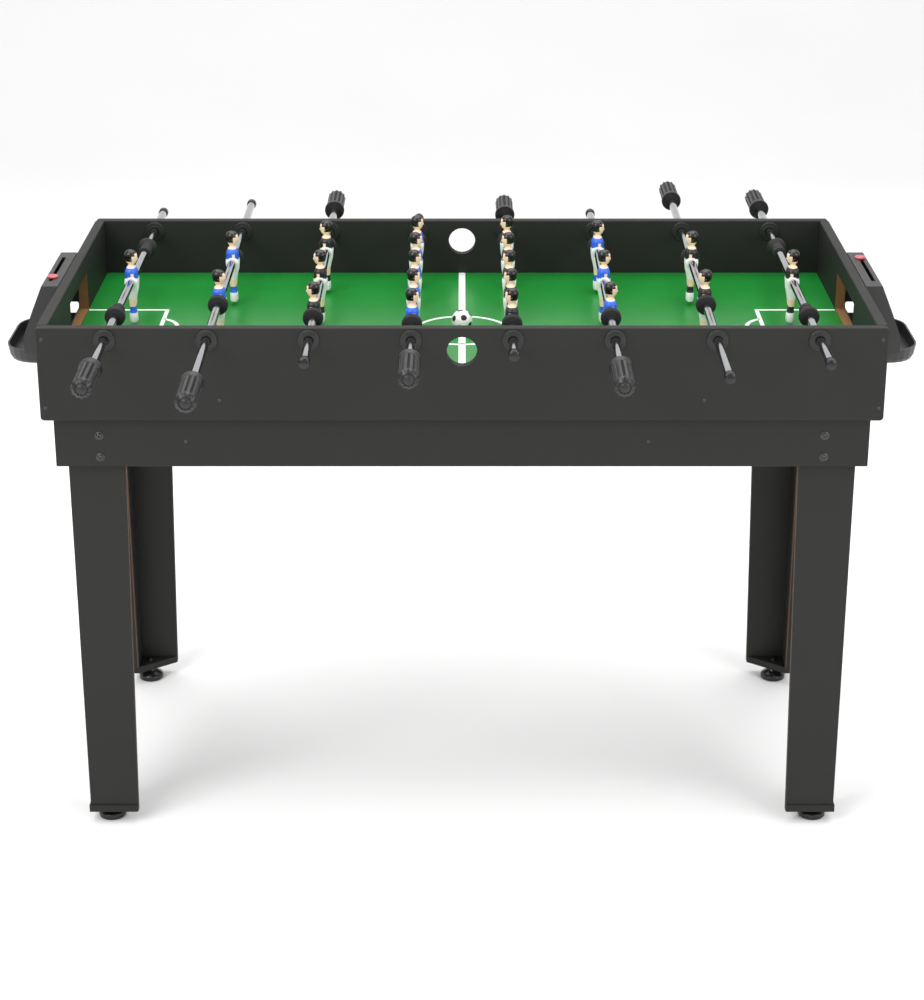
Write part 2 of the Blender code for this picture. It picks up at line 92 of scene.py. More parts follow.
class BoardSettings(bpy.types.PropertyGroup):
    """Finish of the laminated boards."""

    colour: FloatVectorProperty(
        name="Board colour", description="Colour of the melamine paper on the boards",
        subtype="COLOR", size=3, min=0, max=1, default=hex_rgba("20201e")[:3])
    edge_colour: FloatVectorProperty(
        name="Bare edge", description="Colour of the cut fibreboard at the goals and legs",
        subtype="COLOR", size=3, min=0, max=1, default=hex_rgba("8a6238")[:3])


class FieldSettings(bpy.types.PropertyGroup):
    """Printed field."""

    colour: FloatVectorProperty(
        name="Field colour", description="Green of the printed field",
        subtype="COLOR", size=3, min=0, max=1, default=hex_rgba("177a2c")[:3])
    line_width: FloatProperty(
        name="Line width", description="Width of the printed white lines",
        default=6 * MM, min=2 * MM, max=15 * MM, unit="LENGTH")
    centre_line_width: FloatProperty(
        name="Centre line", description="Width of the printed line across the middle",
        default=10.5 * MM, min=2 * MM, max=15 * MM, unit="LENGTH")
    circle_radius: FloatProperty(
        name="Circle radius", description="Radius of the centre circle",
        default=72 * MM, min=30 * MM, max=140 * MM, unit="LENGTH")


class FigureSettings(bpy.types.PropertyGroup):
    """Painted figures."""

    blue: FloatVectorProperty(
        name="Blue shirt", description="Shirt colour of the blue team",
        subtype="COLOR", size=3, min=0, max=1, default=hex_rgba("2b63d6")[:3])
    black: FloatVectorProperty(
        name="Black shirt", description="Shirt colour of the black team",
        subtype="COLOR", size=3, min=0, max=1, default=hex_rgba("1c1c1e")[:3])
    skin: FloatVectorProperty(
        name="Skin", description="Colour of faces, arms and knees",
        subtype="COLOR", size=3, min=0, max=1, default=hex_rgba("f7d6b8")[:3])


class GripSettings(bpy.types.PropertyGroup):
    """Grips at the ends of the rods."""

    slots: IntProperty(
        name="Slots", description="Number of grooves round a grip", default=12, min=6, max=24)
    groove_depth: FloatProperty(
        name="Groove depth", description="Depth of the grooves along a grip",
        default=3.0 * MM, min=0.5 * MM, max=4 * MM, unit="LENGTH")


# Materials

def new_material(name):
    """An empty node material and its Principled shader."""
    material = bpy.data.materials.new(name)
    material.use_nodes = True
    return material, material.node_tree.nodes["Principled BSDF"]


def add_node(tree, kind, settings=None, inputs=None):
    """Add one node with its settings, and with its inputs set to values or linked to sockets."""
    node = tree.nodes.new(kind)
    for key, value in (settings or {}).items():
        setattr(node, key, value)
    for key, value in (inputs or {}).items():
        if isinstance(value, bpy.types.NodeSocket):
            tree.links.new(value, node.inputs[key])
        else:
            node.inputs[key].default_value = value
    return node


def object_coordinates(tree):
    """The socket of the object coordinates, which are metres in the table's frame."""
    return add_node(tree, "ShaderNodeTexCoord").outputs["Object"]


def set_shader(shader, **values):
    """Set constants straight on the shader's sockets."""
    for name, value in values.items():
        shader.inputs[name.replace("_", " ")].default_value = value


def bump(tree, shader, height, strength, distance):
    """Feed a height into the shader's normal."""
    node = add_node(tree, "ShaderNodeBump", None, {
        "Strength": strength, "Distance": distance, "Height": height})
    tree.links.new(node.outputs["Normal"], shader.inputs["Normal"])


def mottled(tree, shader, first, second, size, roughness_low, roughness_high):
    """Break a finish up with soft patches of a real size, in colour and in roughness."""
    coordinates = object_coordinates(tree)
    patches = add_node(tree, "ShaderNodeTexNoise", None, {
        "Vector": coordinates, "Scale": 1 / size, "Detail": 4.0, "Roughness": 0.55})
    mix = add_node(tree, "ShaderNodeMix", {"data_type": "RGBA"}, {0: patches.outputs["Fac"]})
    mix.inputs[6].default_value = first
    mix.inputs[7].default_value = second
    tree.links.new(mix.outputs[2], shader.inputs["Base Color"])
    spread = add_node(tree, "ShaderNodeMapRange", None, {
        "Value": patches.outputs["Fac"], "To Min": roughness_low, "To Max": roughness_high})
    tree.links.new(spread.outputs["Result"], shader.inputs["Roughness"])
    return coordinates


def shade(colour, factor):
    """A colour made lighter or darker."""
    return (*[min(1.0, c * factor) for c in colour[:3]], 1.0)


def melamine_board():
    """Melamine paper pressed on MDF: satin black with the fine pebble of the press plate.

    The pebble is 0.9 mm, coarser than the real one so that it shows.
    """
    colour = linear_to_rgba(bpy.context.scene.foosball_board.colour)
    material, shader = new_material("melamine_black_board")
    tree = material.node_tree
    coordinates = mottled(tree, shader, shade(colour, 0.88), shade(colour, 1.12), 60 * MM, 0.50, 0.62)
    pebble = add_node(tree, "ShaderNodeTexNoise", None, {
        "Vector": coordinates, "Scale": 1 / (0.9 * MM), "Detail": 2.0})
    bump(tree, shader, pebble.outputs["Fac"], 0.16, 0.3 * MM)
    set_shader(shader, Specular_IOR_Level=0.28)
    return material


def raw_fibreboard(name, tone):
    """Sawn MDF edge: dull brown fibre, scaled in brightness by the tone."""
    colour = shade(bpy.context.scene.foosball_board.edge_colour, tone)
    material, shader = new_material(name)
    tree = material.node_tree
    coordinates = mottled(tree, shader, shade(colour, 0.72), shade(colour, 1.2), 4 * MM, 0.75, 0.92)
    fibre = add_node(tree, "ShaderNodeTexNoise", None, {
        "Vector": coordinates, "Scale": 1 / (0.7 * MM), "Detail": 5.0})
    bump(tree, shader, fibre.outputs["Fac"], 0.45, 0.3 * MM)
    return material


def printed_field():
    """Printed laminate on hardboard: green ink under clear film above, bare brown board below."""
    colour = linear_to_rgba(bpy.context.scene.foosball_field.colour)
    material, shader = new_material("printed_green_laminate")
    tree = material.node_tree
    coordinates = mottled(tree, shader, shade(colour, 0.85), shade(colour, 1.18), 130 * MM, 0.26, 0.36)
    normal = add_node(tree, "ShaderNodeNewGeometry").outputs["Normal"]
    upward = add_node(tree, "ShaderNodeSeparateXYZ", None, {"Vector": normal}).outputs["Z"]
    printed = add_node(tree, "ShaderNodeMath", {"operation": "GREATER_THAN"}, {0: upward, 1: 0.5}).outputs[0]
    green = shader.inputs["Base Color"].links[0].from_socket
    sides = add_node(tree, "ShaderNodeMix", {"data_type": "RGBA"}, {0: printed, 7: green})
    sides.inputs[6].default_value = hex_rgba("4a3524")
    tree.links.new(sides.outputs[2], shader.inputs["Base Color"])
    film = add_node(tree, "ShaderNodeTexNoise", None, {
        "Vector": coordinates, "Scale": 1 / (9 * MM), "Detail": 2.0})
    bump(tree, shader, film.outputs["Fac"], 0.04, 0.5 * MM)
    set_shader(shader, Specular_IOR_Level=0.35, Coat_Weight=0.08, Coat_Roughness=0.15)
    return material


def plain_paint(name, code, roughness=0.35, size=9 * MM):
    """Brushed or sprayed paint: even colour, with slight thick and thin places."""
    colour = hex_rgba(code) if isinstance(code, str) else linear_to_rgba(code)
    material, shader = new_material(name)
    mottled(material.node_tree, shader, shade(colour, 0.93), shade(colour, 1.07), size,
            roughness - 0.06, roughness + 0.08)
    return material


def moulded_plastic(name, code, roughness, grain, strength):
    """Injection-moulded plastic with the spark-eroded grain of its mould."""
    colour = hex_rgba(code)
    material, shader = new_material(name)
    tree = material.node_tree
    coordinates = mottled(tree, shader, shade(colour, 0.9), shade(colour, 1.15), 25 * MM,
                          roughness - 0.05, roughness + 0.07)
    texture = add_node(tree, "ShaderNodeTexNoise", None, {
        "Vector": coordinates, "Scale": 1 / grain, "Detail": 3.0})
    bump(tree, shader, texture.outputs["Fac"], strength, 0.3 * MM)
    return material


def chromed_tube():
    """Chromed steel tube: mirror-bright, with faint scratches along its length."""
    material, shader = new_material("chromed_steel_tube")
    tree = material.node_tree
    coordinates = mottled(tree, shader, hex_rgba("9a9da1"), hex_rgba("c6c8ca"), 40 * MM, 0.06, 0.16)
    stretched = add_node(tree, "ShaderNodeMapping", None, {"Vector": coordinates})
    stretched.inputs["Scale"].default_value = (900, 25, 900)
    scratches = add_node(tree, "ShaderNodeTexNoise", None, {
        "Vector": stretched.outputs["Vector"], "Scale": 1.0, "Detail": 2.0})
    bump(tree, shader, scratches.outputs["Fac"], 0.06, 0.2 * MM)
    set_shader(shader, Metallic=1.0)
    return material


def plated_steel():
    """Black-passivated zinc on steel screws: dark metal that glints on its edges."""
    material, shader = new_material("black_zinc_plated_steel")
    mottled(material.node_tree, shader, hex_rgba("3c3c3d"), hex_rgba("5a5a5c"), 3 * MM, 0.28, 0.42)
    set_shader(shader, Metallic=1.0)
    return material


def make_materials():
    """Every finish, by the name that pieces ask for."""
    figures = bpy.context.scene.foosball_figures
    return {
        "board": melamine_board(),
        "edge": raw_fibreboard("sawn_fibreboard_edge", 1.0),
        # The leg edges take the same brown at 0.42 of its brightness
        "leg_edge": raw_fibreboard("darker_fibreboard_edge", 0.42),
        "field": printed_field(),
        "line": plain_paint("white_field_print", "eef4ec", 0.35),
        "tray": moulded_plastic("moulded_abs_tray", "202021", 0.38, 0.8 * MM, 0.22),
        "grip": moulded_plastic("moulded_grip_plastic", "1b1b1c", 0.40, 0.6 * MM, 0.25),
        "rubber": moulded_plastic("black_rubber_bumper", "141414", 0.7, 0.5 * MM, 0.3),
        "bushing": moulded_plastic("black_nylon_bushing", "1a1a19", 0.46, 0.8 * MM, 0.15),
        "foot": moulded_plastic("black_foot_plastic", "101011", 0.26, 0.8 * MM, 0.15),
        "marker": plain_paint("red_marker_plastic", "b8575b", 0.3),
        "chrome": chromed_tube(),
        "zinc": plated_steel(),
        "blue": plain_paint("blue_shirt_paint", figures.blue),
        "black": plain_paint("black_shirt_paint", figures.black),
        "skin": plain_paint("skin_paint", figures.skin, 0.45),
        "hair": plain_paint("black_hair_paint", "17130f", 0.25),
        "white": plain_paint("white_shorts_paint", "e9ebe8", 0.35),
        "ball": plain_paint("white_ball_plastic", "eeeeea", 0.28),
        # Black print of the ball's spots, also used as the painted shade of the grip's slots
        "spot": plain_paint("black_ball_spots_and_slot_shade", "111111", 0.3),
    }


FINISH = {}


# Mesh helpers

def mesh_object(name, bm, materials, smooth_angle=35):
    """A plain mesh object at the origin, smooth apart from its sharp edges."""
    bmesh.ops.remove_doubles(bm, verts=bm.verts[:], dist=0.02 * MM)
    bmesh.ops.recalc_face_normals(bm, faces=bm.faces[:])
    mesh = bpy.data.meshes.new(name)
    bm.to_mesh(mesh)
    bm.free()
    for material in materials:
        mesh.materials.append(material)
    mesh.shade_smooth()
    mesh.set_sharp_from_angle(angle=math.radians(smooth_angle))
    obj = bpy.data.objects.new(name, mesh)
    bpy.context.scene.collection.objects.link(obj)
    return obj


def add_turned(bm, profile, sides, centre, axis=(0, 1, 0), material=0, turn=None):
    """A closed body turned round an axis through a centre, from (along, radius) points."""
    rotation = Vector((0, 0, 1)).rotation_difference(Vector(axis)).to_matrix()
    centre = Vector(centre)
    rings = []
    for along, radius in profile:
        if radius <= 0:
            points = [Vector((0, 0, along))]
        else:
            points = []
            for i in range(sides):
                angle = math.tau * i / sides
                r = radius if turn is None else turn(angle, along, radius)
                points.append(Vector((r * math.cos(angle), r * math.sin(angle), along)))
        rings.append([bm.verts.new(centre + rotation @ point) for point in points])
    for first, second in zip(rings, rings[1:]):
        for i in range(sides):
            j = (i + 1) % sides
            corners = [first[i % len(first)], first[j % len(first)],
                       second[j % len(second)], second[i % len(second)]]
            corners = list(dict.fromkeys(corners))
            if len(corners) > 2:
                bm.faces.new(corners).material_index = material


def finish_piece(piece, body, slot, *nodes):
    """Ride a piece on its body and hide the nodes it stands for. The slot is not used."""
    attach(piece, body)
    if nodes:
        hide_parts(*nodes)


def paint_node(name, material):
    """Give a kept node its finish."""
    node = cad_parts[name]
    node.data.materials.clear()
    node.data.materials.append(material)


# Rods

# Every bumper and collar lies closer to the middle than this at rest, and caps and tube ends further out
BUMPER_ZONE = 0.288
TUBE_RADIUS = 6.35 * MM
TUBE_SIDES = 40
BUMPER_RADIUS = 15 * MM
BUMPER_LENGTH = 12 * MM
COLLAR_LENGTH = 30 * MM
CAP_RADIUS = 8 * MM
CAP_LENGTH = 16 * MM


def row_axis(row):
    """Middle of a row's rod, and the direction of its grip along Y."""
    low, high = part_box(row + "_rod")
    grip_low, grip_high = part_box(row + "_grip")
    side = -1 if (grip_low.y + grip_high.y) / 2 < 0 else 1
    return Vector(((low.x + high.x) / 2, 0, (low.z + high.z) / 2)), side


def rod_faces(row):
    """Y of the rod's capped end and of its grip's mouth, and of its bumpers' outer faces."""
    _, side = row_axis(row)
    low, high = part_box(row + "_rod")
    cap_end = high.y if side < 0 else low.y
    grip_low, grip_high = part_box(row + "_grip")
    grip_mouth = grip_high.y if side < 0 else grip_low.y
    radii = {}
    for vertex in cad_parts[row + "_rod"].data.vertices:
        if abs(vertex.co.y) < BUMPER_ZONE:
            radii[round(abs(vertex.co.y), 4)] = True
    return cap_end, grip_mouth, max(radii)


def make_rod(row):
    """Bright tube, turned rubber bumpers and the end cap of one rod."""
    centre, side = row_axis(row)
    cap_end, grip_mouth, outer = rod_faces(row)
    body = row + "_rod"
    bm = bmesh.new()
    start, end = sorted((cap_end + side * 3 * MM, grip_mouth + side * 70 * MM))
    add_turned(bm, [(start, 0), (start, TUBE_RADIUS), (end, TUBE_RADIUS), (end, 0)],
               TUBE_SIDES, (centre.x, 0, centre.z))
    tube = mesh_object(row + "_tube", bm, [FINISH["chrome"]])
    finish_piece(tube, body, "rod_chrome", body)

    bm = bmesh.new()
    for end_sign in (-1, 1):
        inner = outer - BUMPER_LENGTH
        # A grooved tyre: two rounded beads with a shallow waist between them
        profile = [
            (inner, 0), (inner, 9 * MM), (inner + 1 * MM, 13.2 * MM), (inner + 3 * MM, BUMPER_RADIUS),
            (inner + 5 * MM, BUMPER_RADIUS), (inner + 6 * MM, 13.8 * MM),
            (inner + 7 * MM, BUMPER_RADIUS), (inner + 9.5 * MM, BUMPER_RADIUS),
            (inner + 11.4 * MM, 13.2 * MM), (outer, 9 * MM), (outer, 0),
        ]
        if "goalkeeper" in row:
            start_collar = inner - COLLAR_LENGTH
            profile = [
                (start_collar, 0), (start_collar, 9.0 * MM), (start_collar + 1 * MM, 10 * MM),
                (start_collar + 9 * MM, 10 * MM), (start_collar + 10 * MM, 8.4 * MM),
                (start_collar + 13 * MM, 8.4 * MM), (start_collar + 14 * MM, 9.6 * MM),
                (inner - 2 * MM, 9.6 * MM), (inner, 11 * MM),
            ] + profile[2:]
        add_turned(bm, profile, 40, (centre.x, 0, centre.z), (0, end_sign, 0))
    bumpers = mesh_object(row + "_bumpers", bm, [FINISH["rubber"]])
    finish_piece(bumpers, body, "rod_chrome")

    bm = bmesh.new()
    reach = abs(cap_end)
    profile = [
        (reach - CAP_LENGTH, 0), (reach - CAP_LENGTH, CAP_RADIUS - 1 * MM),
        (reach - CAP_LENGTH + 1 * MM, CAP_RADIUS - 0.3 * MM), (reach - 4 * MM, CAP_RADIUS),
        (reach - 1.4 * MM, CAP_RADIUS - 0.6 * MM),
        (reach, CAP_RADIUS - 3 * MM), (reach, 0),
    ]
    add_turned(bm, profile, 32, (centre.x, 0, centre.z), (0, -side, 0))
    cap = mesh_object(row + "_cap", bm, [FINISH["foot"]])
    finish_piece(cap, body, "rod_chrome")


# Grips

# Rings of points along a grip's barrel, with a hoop across the grooves at every sixth
HOOP_STEP = 1.675 * MM
HOOP_EVERY = 6


def make_grip(row):
    """Ribbed grip: a flared skirt, a barrel of ribs and hoops, a dome with dark bars of painted shade for
    its radial slots, and a hub.
    """
    settings = bpy.context.scene.foosball_grips
    centre, side = row_axis(row)
    _, mouth, _ = rod_faces(row)
    start = abs(mouth)
    barrel_start, barrel_end = start + 13 * MM, start + 80 * MM
    slots, depth = settings.slots, settings.groove_depth

    def flute(angle, along, radius):
        """Radius inside the grooves, which fade out at both ends of the barrel."""
        reach = min(along - barrel_start, barrel_end - along)
        if reach <= 0:
            return radius
        if round((along - barrel_start) / HOOP_STEP) % HOOP_EVERY == 0:
            return radius
        share = min(1.0, reach / (2 * MM))
        return radius - depth * share * (math.cos(angle * slots) > 0.05)

    bm = bmesh.new()
    profile = [
        (start, 0), (start, 12.8 * MM), (start, 15.2 * MM), (start + 1.0 * MM, 16.4 * MM),
        (start + 5 * MM, 16.5 * MM), (start + 8 * MM, 15.6 * MM), (start + 11 * MM, 14.4 * MM),
    ]
    steps = round((barrel_end - barrel_start) / HOOP_STEP)
    for i in range(steps + 1):
        profile.append((barrel_start + i * HOOP_STEP, 14.5 * MM))
    for i in range(1, 7):
        angle = math.pi / 2 * i / 6
        profile.append((barrel_end + 8 * MM * math.sin(angle), 7 * MM + 7.5 * MM * math.cos(angle)))
    profile += [(start + 89.5 * MM, 4.8 * MM), (start + 91.5 * MM, 4.6 * MM), (start + 92 * MM, 3.8 * MM),
                (start + 92 * MM, 0)]
    add_turned(bm, profile, slots * 8, (centre.x, 0, centre.z), (0, side, 0), turn=flute)
    grip = mesh_object(row + "_grip_shell", bm, [FINISH["grip"]])
    finish_piece(grip, row + "_row", "grip_plastic", row + "_grip")

    # The radial slots are not cut: dark bars laid half into the dome give the painted shade of the slots'
    # insides
    bm = bmesh.new()
    for i in range(slots):
        angle = math.tau * i / slots
        radial = Vector((math.cos(angle), 0, math.sin(angle)))
        place = Vector((centre.x, side * (start + 86.2 * MM), centre.z)) + radial * 11.5 * MM
        along = (radial * 0.78 - Vector((0, side, 0)) * 0.62).normalized()
        across = along.cross(Vector((0, 1, 0))).normalized()
        normal = across.cross(along)
        turn = Matrix((along, across, normal)).transposed().to_4x4()
        matrix = Matrix.Translation(place) @ turn @ Matrix.Diagonal((7.5 * MM, 2.6 * MM, 1.4 * MM, 1))
        bmesh.ops.create_cube(bm, size=1.0, matrix=matrix)
    slot_shade_piece = mesh_object(row + "_grip_slots", bm, [FINISH["spot"]])
    finish_piece(slot_shade_piece, row + "_row", "grip_plastic")


# Figures

# Height above the rod's axis, and half depth, half width and forward shift, in millimetres
FIGURE_LEVELS = (
    (-64.5, 5.4, 9.6, 0.6), (-62.5, 6.4, 10.4, 0.5), (-54, 6.3, 10.4, 0.3), (-50, 5.8, 9.8, 0.2),
    (-47, 4.8, 8.6, 0.0), (-43, 4.8, 8.4, 0.0), (-40, 5.2, 8.8, 0.0), (-34, 5.8, 9.4, 0.2),
    (-28, 6.4, 10.2, 0.2), (-21, 8.0, 11.6, 0.0), (-13, 9.8, 13.0, 0.0), (-8, 10.4, 13.5, 0.0),
    (0, 11.0, 13.4, 0.0), (5, 10.4, 12.8, 0.0), (9, 9.8, 13.0, 0.0), (14, 9.8, 14.2, 0.0),
    (18, 8.6, 13.6, 0.0), (21.5, 6.8, 10.4, 0.0), (23.5, 4.8, 5.6, 0.0), (26.0, 4.4, 4.8, 0.2),
    (28.0, 6.4, 6.0, 0.8), (31, 8.4, 7.2, 0.6), (35, 9.4, 8.0, 0.2), (39.5, 9.8, 8.6, 0.0),
    (43.5, 9.0, 8.0, -0.3), (46.5, 6.6, 6.0, -0.5), (48.1, 3.4, 3.0, -0.5), (48.5, 1.2, 1.2, -0.5),
)
FIGURE_SIDES = 32
SHIRT_SLOT, SKIN_SLOT, HAIR_SLOT, WHITE_SLOT = range(4)


def figure_paint(height, forward, sideways):
    """Which paint covers a place on the figure, in millimetres from the rod's axis."""
    if height > 42.5 or (height > 30.5 and forward < 1.5) or (height > 38.5 and abs(sideways) > 5.5):
        return HAIR_SLOT
    if height > 22.5:
        return SKIN_SLOT
    if height > 6:
        return SKIN_SLOT if abs(sideways) > 12.4 and 7 < height < 12 and forward > 1 else SHIRT_SLOT
    if height > -30:
        return WHITE_SLOT
    if height > -40:
        return SKIN_SLOT
    return SHIRT_SLOT if height > -49 else WHITE_SLOT


def make_figure_mesh(bm, centre, facing):
    """One painted figure: rounded sections, an arm at each side, a nose and a fringe of hair."""
    rings = []
    for height, depth, width, shift in FIGURE_LEVELS:
        ring = []
        for i in range(FIGURE_SIDES):
            angle = math.tau * i / FIGURE_SIDES
            # Boxier than an ellipse, as a moulded figure is
            power = 0.72 if height < 24 else 0.92
            c, s = math.cos(angle), math.sin(angle)
            x = math.copysign(abs(c) ** power, c) * depth + shift
            y = math.copysign(abs(s) ** power, s) * width
            # The groove between the legs
            if -46 < height < -14 and abs(s) < 0.35:
                x -= math.copysign(1.3 * (1 - abs(s) / 0.35), c)
            ring.append(bm.verts.new((centre.x + facing * x * MM, centre.y + y * MM,
                                      centre.z + height * MM)))
        rings.append(ring)
    for lower, upper in zip(rings, rings[1:]):
        for i in range(FIGURE_SIDES):
            j = (i + 1) % FIGURE_SIDES
            bm.faces.new((lower[i], lower[j], upper[j], upper[i]))
    bm.faces.new(list(reversed(rings[0])))
    bm.faces.new(rings[-1])
    for sign in (-1, 1):
        add_blob(bm, centre, facing, (0.5, sign * 11.9, 9.5), (4.0, 2.5, 9.5))
        add_blob(bm, centre, facing, (0.2, sign * 8.6, 34.5), (1.6, 1.1, 2.4))
    add_blob(bm, centre, facing, (9.2, 0, 34.4), (1.5, 1.1, 1.9))
    hub = [(-14.4, 0), (-14.4, 8.4), (-13.4, 9.8), (13.4, 9.8), (14.4, 8.4), (14.4, 0)]
    add_turned(bm, [(along * MM, radius * MM) for along, radius in hub], 32, centre)


def add_blob(bm, centre, facing, place, size):
    """A small rounded swelling on the figure, in millimetres."""
    matrix = Matrix.Translation((centre.x + facing * place[0] * MM, centre.y + place[1] * MM,
                                 centre.z + place[2] * MM))
    matrix = matrix @ Matrix.Diagonal((size[0] * MM, size[1] * MM, size[2] * MM, 1))
    bmesh.ops.create_uvsphere(bm, u_segments=12, v_segments=8, radius=1.0, matrix=matrix)


def make_figure(row, number):
    """One figure in its node's place, painted by height and side."""
    node = f"{row}_figure_{number}"
    low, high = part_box(node)
    axis, _ = row_axis(row)
    centre = Vector((axis.x, (low.y + high.y) / 2, axis.z))
    team = row.split("_")[0]
    facing = 1 if team == "blue" else -1
    bm = bmesh.new()
    make_figure_mesh(bm, centre, facing)
    for face in bm.faces:
        place = (face.calc_center_median() - centre) / MM
        face.material_index = figure_paint(place.z, facing * place.x, place.y)
    paints = [FINISH[team], FINISH["skin"], FINISH["hair"], FINISH["white"]]
    piece = mesh_object(node + "_body", bm, paints, 50)
    finish_piece(piece, row + "_row", team + "_figure", node)


# Ball

SPOT_ANGLE = 17


def make_ball():
    """Ball with a dark round spot at each corner of an icosahedron."""
    low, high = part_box("ball")
    centre, radius = (low + high) / 2, (high.z - low.z) / 2
    bm = bmesh.new()
    bmesh.ops.create_icosphere(bm, subdivisions=5, radius=radius)
    golden = (1 + math.sqrt(5)) / 2
    corners = []
    for a in (-1, 1):
        for b in (-golden, golden):
            corners += [Vector((0, a, b)), Vector((a, b, 0)), Vector((b, 0, a))]
    tilt = Matrix.Rotation(0.5, 3, "X") @ Matrix.Rotation(0.35, 3, "Z")
    corners = [tilt @ corner.normalized() for corner in corners]
    cosine = math.cos(math.radians(SPOT_ANGLE))
    for face in bm.faces:
        outward = face.calc_center_median().normalized()
        face.material_index = int(any(outward.dot(corner) > cosine for corner in corners))
    bmesh.ops.translate(bm, vec=centre, verts=bm.verts[:])
    piece = mesh_object("spotted_ball", bm, [FINISH["ball"], FINISH["spot"]])
    finish_piece(piece, "ball", "ball_plastic", "ball")


# Printed lines

LINE_LIFT = 0.25 * MM


def add_strip(bm, points, width):
    """A flat printed strip of even width along a list of (x, y) points."""
    vectors = [Vector(point) for point in points]
    rails = []
    for i, point in enumerate(vectors):
        before, after = vectors[max(i - 1, 0)], vectors[min(i + 1, len(vectors) - 1)]
        along = (after - before).normalized()
        across = Vector((-along.y, along.x)) * width / 2
        for sign in (-1, 1):
            edge = point + sign * across
            rails.append([bm.verts.new((edge.x, edge.y, FIELD_TOP + z)) for z in (0.02 * MM, LINE_LIFT)])
    for i in range(len(vectors) - 1):
        a, b, c, d = rails[2 * i], rails[2 * i + 1], rails[2 * i + 2], rails[2 * i + 3]
        bm.faces.new((a[1], c[1], d[1], b[1]))
        bm.faces.new((a[0], b[0], d[0], c[0]))
        bm.faces.new((a[0], c[0], c[1], a[1]))
        bm.faces.new((b[0], b[1], d[1], d[0]))
    bm.faces.new((rails[0][0], rails[0][1], rails[1][1], rails[1][0]))
    bm.faces.new((rails[-2][0], rails[-1][0], rails[-1][1], rails[-2][1]))


def arc_points(centre, radius, start, end, steps):
    """Points along an arc between two angles in degrees."""
    points = []
    for i in range(steps + 1):
        angle = math.radians(start + (end - start) * i / steps)
        points.append((centre[0] + radius * math.cos(angle), centre[1] + radius * math.sin(angle)))
    return points


def make_field_print():
    """White print: centre line and circle, and at each end the goal area, its arc and the spot."""
    settings = bpy.context.scene.foosball_field
    width = settings.line_width
    low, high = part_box("playfield")
    bm = bmesh.new()
    middle = -30 * MM
    centre_width = settings.centre_line_width
    add_strip(bm, [(0, low.y + 1 * MM), (0, middle - settings.circle_radius)], centre_width)
    add_strip(bm, [(0, middle - settings.circle_radius + width), (0, high.y - 1 * MM)], centre_width)
    add_strip(bm, arc_points((0, middle), settings.circle_radius, -88, 268, 96), width)
    area_half, area_x = 90 * MM, 465 * MM
    arc_x, spot_x, spot_y = 440 * MM, 424 * MM, -13 * MM
    for side in (-1, 1):
        edge = side * (high.x - 1 * MM)
        line = side * area_x
        add_strip(bm, [(edge, spot_y + area_half), (line - side * width / 2, spot_y + area_half)], width)
        add_strip(bm, [(edge, spot_y - area_half), (line - side * width / 2, spot_y - area_half)], width)
        add_strip(bm, [(line, spot_y - area_half), (line, spot_y + area_half)], width)
        bulge = area_x - arc_x
        half_chord = 42 * MM
        radius = (half_chord ** 2 + bulge ** 2) / (2 * bulge)
        turn = math.degrees(math.asin(half_chord / radius))
        centre_x = side * (arc_x + radius)
        base = 180 if side > 0 else 0
        add_strip(bm, arc_points((centre_x, spot_y), radius, base - turn, base + turn, 32), width)
        add_turned(bm, [(0.02 * MM, 0), (0.02 * MM, 8 * MM), (LINE_LIFT, 8 * MM), (LINE_LIFT, 0)],
                   40, (side * spot_x, spot_y, FIELD_TOP), (0, 0, 1))
    lines = mesh_object("field_print", bm, [FINISH["line"]])
    finish_piece(lines, "table", "green_field")


# Bare edges at the goals and legs

def box_piece(bm, low, high):
    """A thin slab between two corners."""
    low, high = Vector(low), Vector(high)
    matrix = Matrix.Translation((low + high) / 2) @ Matrix.Diagonal((*(high - low), 1))
    bmesh.ops.create_cube(bm, size=1.0, matrix=matrix)


def make_bare_edges():
    """Bare fibreboard at both sides and the sill of each goal."""
    goal_half, goal_top = 85 * MM, RIM - 30 * MM
    skin = 0.4 * MM
    bm = bmesh.new()
    for name in ("end_board_left", "end_board_right"):
        low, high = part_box(name)
        for side in (-1, 1):
            y = sorted((side * goal_half, side * (goal_half - skin)))
            box_piece(bm, (low.x + 0.2 * MM, y[0], FIELD_TOP), (high.x - 0.2 * MM, y[1], goal_top))
        sill_low = (low.x + 0.2 * MM, -goal_half, FIELD_TOP)
        box_piece(bm, sill_low, (high.x - 0.2 * MM, goal_half, FIELD_TOP + skin))
    piece = mesh_object("bare_goal_edges", bm, [FINISH["edge"]])
    finish_piece(piece, "table", "box_board")


LEG_BOARD = 12 * MM
LEG_WIDTH_FOOT, LEG_RETURN_FOOT = 73 * MM, 58 * MM
SHOE_TOP = 33 * MM
SHOE_LIP = 2 * MM
# Corners of each side of a prism whose corners are numbered lower end first
PRISM_FACES = (
    (0, 1, 3, 2), (4, 6, 7, 5), (0, 4, 5, 1), (2, 3, 7, 6), (1, 5, 7, 3), (0, 2, 6, 4),
)


